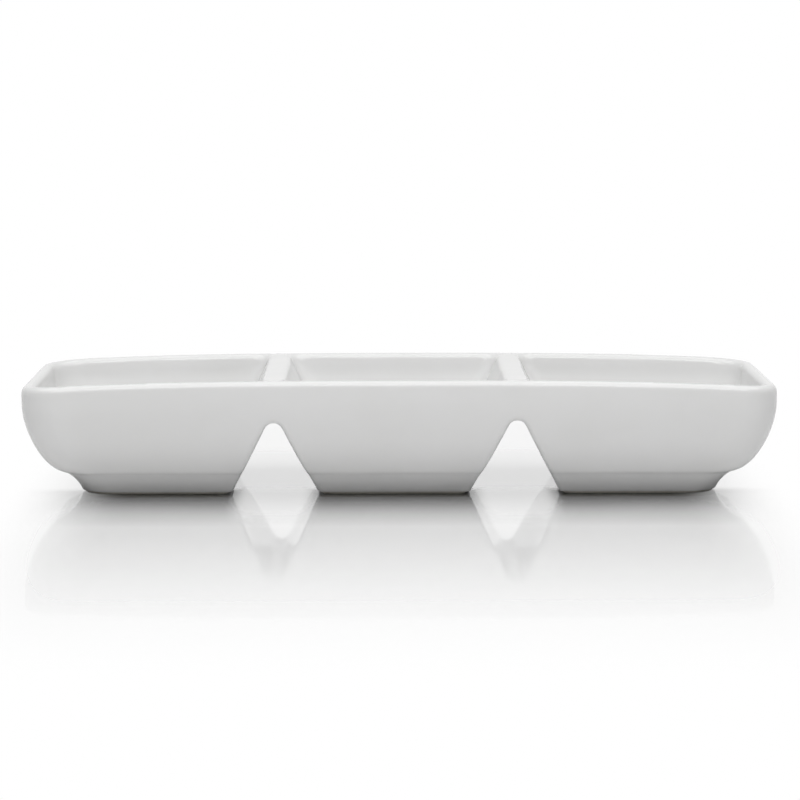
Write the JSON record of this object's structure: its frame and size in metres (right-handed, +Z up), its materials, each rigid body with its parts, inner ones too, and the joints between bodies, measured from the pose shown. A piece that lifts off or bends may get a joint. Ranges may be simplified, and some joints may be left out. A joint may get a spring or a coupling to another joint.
{
  "type": "three-section dish",
  "caption": "Long white porcelain serving dish with wells in a row, parted by ridges, standing on feet that V-shaped notches cut from one another.",
  "frame": {"origin": "on the table, under the middle of the dish's length and width", "axes": "+X along the dish's length, +Y from its front to its back, +Z up out of the wells"},
  "size_m": [0.33, 0.115, 0.0531],
  "materials": {
    "porcelain": "bare fired porcelain, matt, seen only on the ground foot rings",
    "glaze": "glossy neutral white glaze, smooth, with soft mirror-like highlights"
  },
  "bodies": {
    "root": {"porcelain_body": "porcelain", "glaze": "glaze"}
  },
  "joints": []
}
